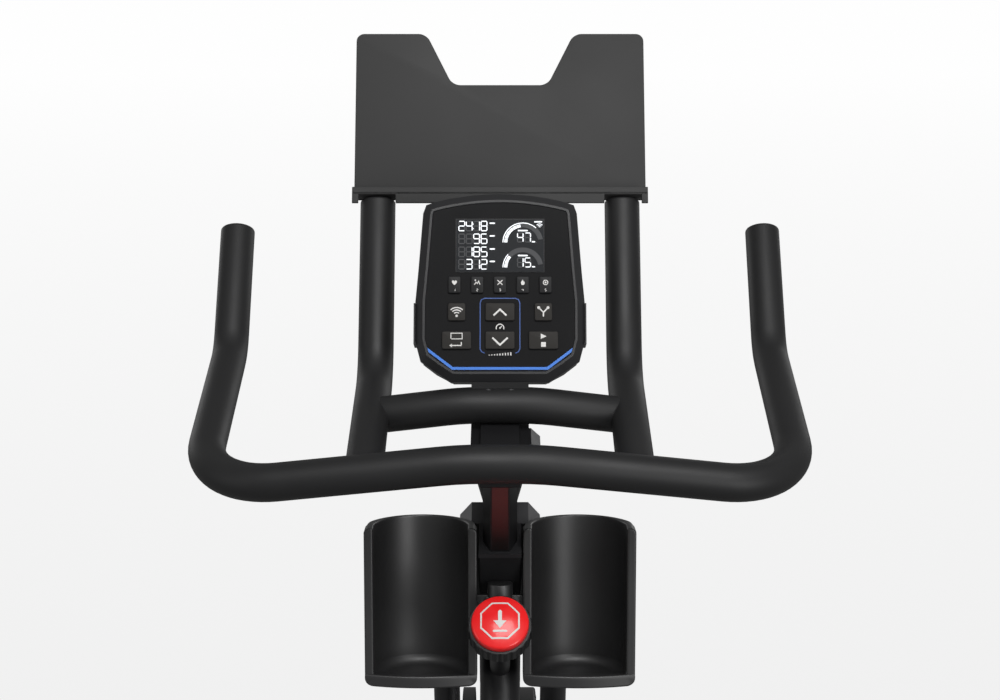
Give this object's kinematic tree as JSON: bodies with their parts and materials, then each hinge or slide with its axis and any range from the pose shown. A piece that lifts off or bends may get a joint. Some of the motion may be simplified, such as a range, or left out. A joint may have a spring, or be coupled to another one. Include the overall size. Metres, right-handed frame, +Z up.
{
  "type": "exercise bike",
  "caption": "Indoor cycling bike with a front flywheel, welded multi-grip handlebar, tablet rack, console, twin bottle troughs and a red push brake.",
  "frame": {"origin": "on the floor, at the middle of the bike's overall length and width", "axes": "+X to the rider's right, +Y forward, +Z up"},
  "size_m": [0.598, 1.24, 1.2588],
  "materials": {
    "black_paint": "satin black powder coat",
    "bar_coating": "matt black dipped vinyl over steel tube",
    "grey_plastic": "matt dark grey",
    "collar_grey": "satin dark grey",
    "black_plastic": "satin black",
    "rack_plastic": "matt dark grey",
    "rubber": "matt",
    "steel": "zinc plated",
    "aluminium": "cast",
    "flywheel_steel": "painted, with a ground rim",
    "lens": "gloss, dark",
    "board": "circuit board",
    "red_cap": "gloss red",
    "key_grey": "matt warm grey",
    "saddle_cover": "padded black cover, its mass that of foam"
  },
  "bodies": {
    "frame": {"main_frame": "black_paint", "front_fork": "black_paint", "head_cowl": "grey_plastic", "post_bushes": "collar_grey", "front_stabilizer": "black_paint", "rear_stabilizer": "black_paint", "stabilizer_caps": "black_plastic", "frame_bolts": "steel", "bottle_holder": "black_plastic", "drive_cover_inner": "black_plastic", "drive_cover_outer": "black_plastic", "flywheel_cover": "black_plastic", "bearings": "steel", "flywheel_axle": "steel", "drive_belt": "rubber", "servo_motor": "black_plastic", "brake_spring": "steel"},
    "bar_post": {"handlebar_post": "black_paint"},
    "handlebar": {"handlebar_carriage": "black_paint", "handlebar": "bar_coating", "media_rack": "rack_plastic", "console_bracket": "black_paint", "console_back": "black_plastic", "console_front": "black_plastic", "console_lens": "lens", "console_board": "board"},
    "brake": {"brake_knob": "black_plastic", "brake_cap": "red_cap", "brake_rod": "steel"},
    "magnet_arm": {"magnet_arm": "black_paint"},
    "flywheel": {"flywheel": "flywheel_steel", "flywheel_pulley": "steel"},
    "crank": {"crank_axle": "steel", "drive_pulley": "aluminium", "crank_left": "black_paint", "crank_right": "black_paint"},
    "pedal_left": {"pedal_left": "black_plastic"},
    "pedal_right": {"pedal_right": "black_plastic"},
    "seat_post": {"seat_post": "black_paint"},
    "seat": {"seat_carriage": "black_paint", "saddle": "saddle_cover"},
    "bar_height_knob": {"bar_height_knob": "black_plastic"},
    "bar_reach_knob": {"bar_reach_knob": "black_plastic"},
    "seat_height_knob": {"seat_height_knob": "black_plastic"},
    "seat_reach_knob": {"seat_reach_knob": "black_plastic"},
    "foot_left": {"foot_left": "rubber"},
    "foot_right": {"foot_right": "rubber"},
    "wheel_left": {"wheel_left": "rubber"},
    "wheel_right": {"wheel_right": "rubber"},
    "key_up": {"key_up": "key_grey"},
    "key_down": {"key_down": "key_grey"},
    "key_wireless": {"key_wireless": "key_grey"},
    "key_split": {"key_split": "key_grey"},
    "key_display": {"key_display": "key_grey"},
    "key_start": {"key_start": "key_grey"},
    "key_program_1": {"key_program_1": "key_grey"},
    "key_program_2": {"key_program_2": "key_grey"},
    "key_program_3": {"key_program_3": "key_grey"},
    "key_program_4": {"key_program_4": "key_grey"},
    "key_program_5": {"key_program_5": "key_grey"}
  },
  "joints": [
    {"name": "bar_height", "type": "slide", "parent": "frame", "child": "bar_post", "axis": [0, -0.225, 0.9744], "range_m": [-0.015, 0.075]},
    {"name": "bar_reach", "type": "slide", "parent": "bar_post", "child": "handlebar", "axis": [0, 1, 0], "range_m": [-0.04, 0.03]},
    {"name": "seat_height", "type": "slide", "parent": "frame", "child": "seat_post", "axis": [0, -0.2924, 0.9563], "range_m": [-0.06, 0.06]},
    {"name": "seat_reach", "type": "slide", "parent": "seat_post", "child": "seat", "axis": [0, 1, 0], "range_m": [-0.035, 0.035]},
    {"name": "flywheel_spin", "type": "hinge", "parent": "frame", "child": "flywheel", "pos_m": [0, 0.39949, 0.33], "axis": [1, 0, 0], "continuous": true},
    {"name": "crank_spin", "type": "hinge", "parent": "frame", "child": "crank", "pos_m": [0, -0.04272, 0.33], "axis": [1, 0, 0], "continuous": true},
    {"name": "pedal_left_spin", "type": "hinge", "parent": "crank", "child": "pedal_left", "pos_m": [-0.09, -0.21271, 0.33], "axis": [1, 0, 0], "continuous": true},
    {"name": "pedal_right_spin", "type": "hinge", "parent": "crank", "child": "pedal_right", "pos_m": [0.09, 0.12729, 0.33], "axis": [1, 0, 0], "continuous": true},
    {"name": "brake_push", "type": "slide", "parent": "frame", "child": "brake", "axis": [0, 0.503, -0.8643], "range_m": [0, 0.008], "stiffness_N_per_m": 1500, "springref_m": -0.006, "deforming": ["brake_spring"]},
    {"name": "magnet_arm_tilt", "type": "hinge", "parent": "frame", "child": "magnet_arm", "pos_m": [0, 0.17749, 0.154], "axis": [1, 0, 0], "range_deg": [0, 7]},
    {"name": "bar_height_knob_turn", "type": "hinge", "parent": "frame", "child": "bar_height_knob", "pos_m": [0, 0.30582, 0.7787], "axis": [0, 0.9744, 0.225], "range_deg": [-360, 0]},
    {"name": "seat_height_knob_turn", "type": "hinge", "parent": "frame", "child": "seat_height_knob", "pos_m": [0, -0.10073, 0.57892], "axis": [0, 0.9563, 0.2924], "range_deg": [-360, 0]},
    {"name": "bar_reach_knob_turn", "type": "hinge", "parent": "bar_post", "child": "bar_reach_knob", "pos_m": [0, 0.29949, 0.9095], "axis": [0, 0, 1], "range_deg": [0, 360]},
    {"name": "seat_reach_knob_turn", "type": "hinge", "parent": "seat_post", "child": "seat_reach_knob", "pos_m": [0, -0.24734, 0.8152], "axis": [0, 0, 1], "range_deg": [0, 360]},
    {"name": "foot_left_screw", "type": "hinge", "parent": "frame", "child": "foot_left", "pos_m": [-0.24, -0.5885, 0.01], "axis": [0, 0, 1], "range_deg": [-360, 360]},
    {"name": "wheel_left_spin", "type": "hinge", "parent": "frame", "child": "wheel_left", "pos_m": [-0.19, 0.50027, 0.038], "axis": [1, 0, 0], "continuous": true},
    {"name": "foot_right_screw", "type": "hinge", "parent": "frame", "child": "foot_right", "pos_m": [0.24, -0.5885, 0.01], "axis": [0, 0, 1], "range_deg": [-360, 360]},
    {"name": "wheel_right_spin", "type": "hinge", "parent": "frame", "child": "wheel_right", "pos_m": [0.19, 0.50027, 0.038], "axis": [1, 0, 0], "continuous": true},
    {"name": "key_up_press", "type": "slide", "parent": "handlebar", "child": "key_up", "axis": [0, 0.8192, -0.5736], "range_m": [0, 0.0008], "stiffness_N_per_m": 800, "springref_m": -0.0008},
    {"name": "key_down_press", "type": "slide", "parent": "handlebar", "child": "key_down", "axis": [0, 0.8192, -0.5736], "range_m": [0, 0.0008], "stiffness_N_per_m": 800, "springref_m": -0.0008},
    {"name": "key_wireless_press", "type": "slide", "parent": "handlebar", "child": "key_wireless", "axis": [0, 0.8192, -0.5736], "range_m": [0, 0.0008], "stiffness_N_per_m": 800, "springref_m": -0.0008},
    {"name": "key_split_press", "type": "slide", "parent": "handlebar", "child": "key_split", "axis": [0, 0.8192, -0.5736], "range_m": [0, 0.0008], "stiffness_N_per_m": 800, "springref_m": -0.0008},
    {"name": "key_display_press", "type": "slide", "parent": "handlebar", "child": "key_display", "axis": [0, 0.8192, -0.5736], "range_m": [0, 0.0008], "stiffness_N_per_m": 800, "springref_m": -0.0008},
    {"name": "key_start_press", "type": "slide", "parent": "handlebar", "child": "key_start", "axis": [0, 0.8192, -0.5736], "range_m": [0, 0.0008], "stiffness_N_per_m": 800, "springref_m": -0.0008},
    {"name": "key_program_1_press", "type": "slide", "parent": "handlebar", "child": "key_program_1", "axis": [0, 0.8192, -0.5736], "range_m": [0, 0.0008], "stiffness_N_per_m": 800, "springref_m": -0.0008},
    {"name": "key_program_2_press", "type": "slide", "parent": "handlebar", "child": "key_program_2", "axis": [0, 0.8192, -0.5736], "range_m": [0, 0.0008], "stiffness_N_per_m": 800, "springref_m": -0.0008},
    {"name": "key_program_3_press", "type": "slide", "parent": "handlebar", "child": "key_program_3", "axis": [0, 0.8192, -0.5736], "range_m": [0, 0.0008], "stiffness_N_per_m": 800, "springref_m": -0.0008},
    {"name": "key_program_4_press", "type": "slide", "parent": "handlebar", "child": "key_program_4", "axis": [0, 0.8192, -0.5736], "range_m": [0, 0.0008], "stiffness_N_per_m": 800, "springref_m": -0.0008},
    {"name": "key_program_5_press", "type": "slide", "parent": "handlebar", "child": "key_program_5", "axis": [0, 0.8192, -0.5736], "range_m": [0, 0.0008], "stiffness_N_per_m": 800, "springref_m": -0.0008}
  ],
  "couplings": [
    {"joint": "crank_spin", "follows": "flywheel_spin", "ratio": 0.31111}
  ]
}
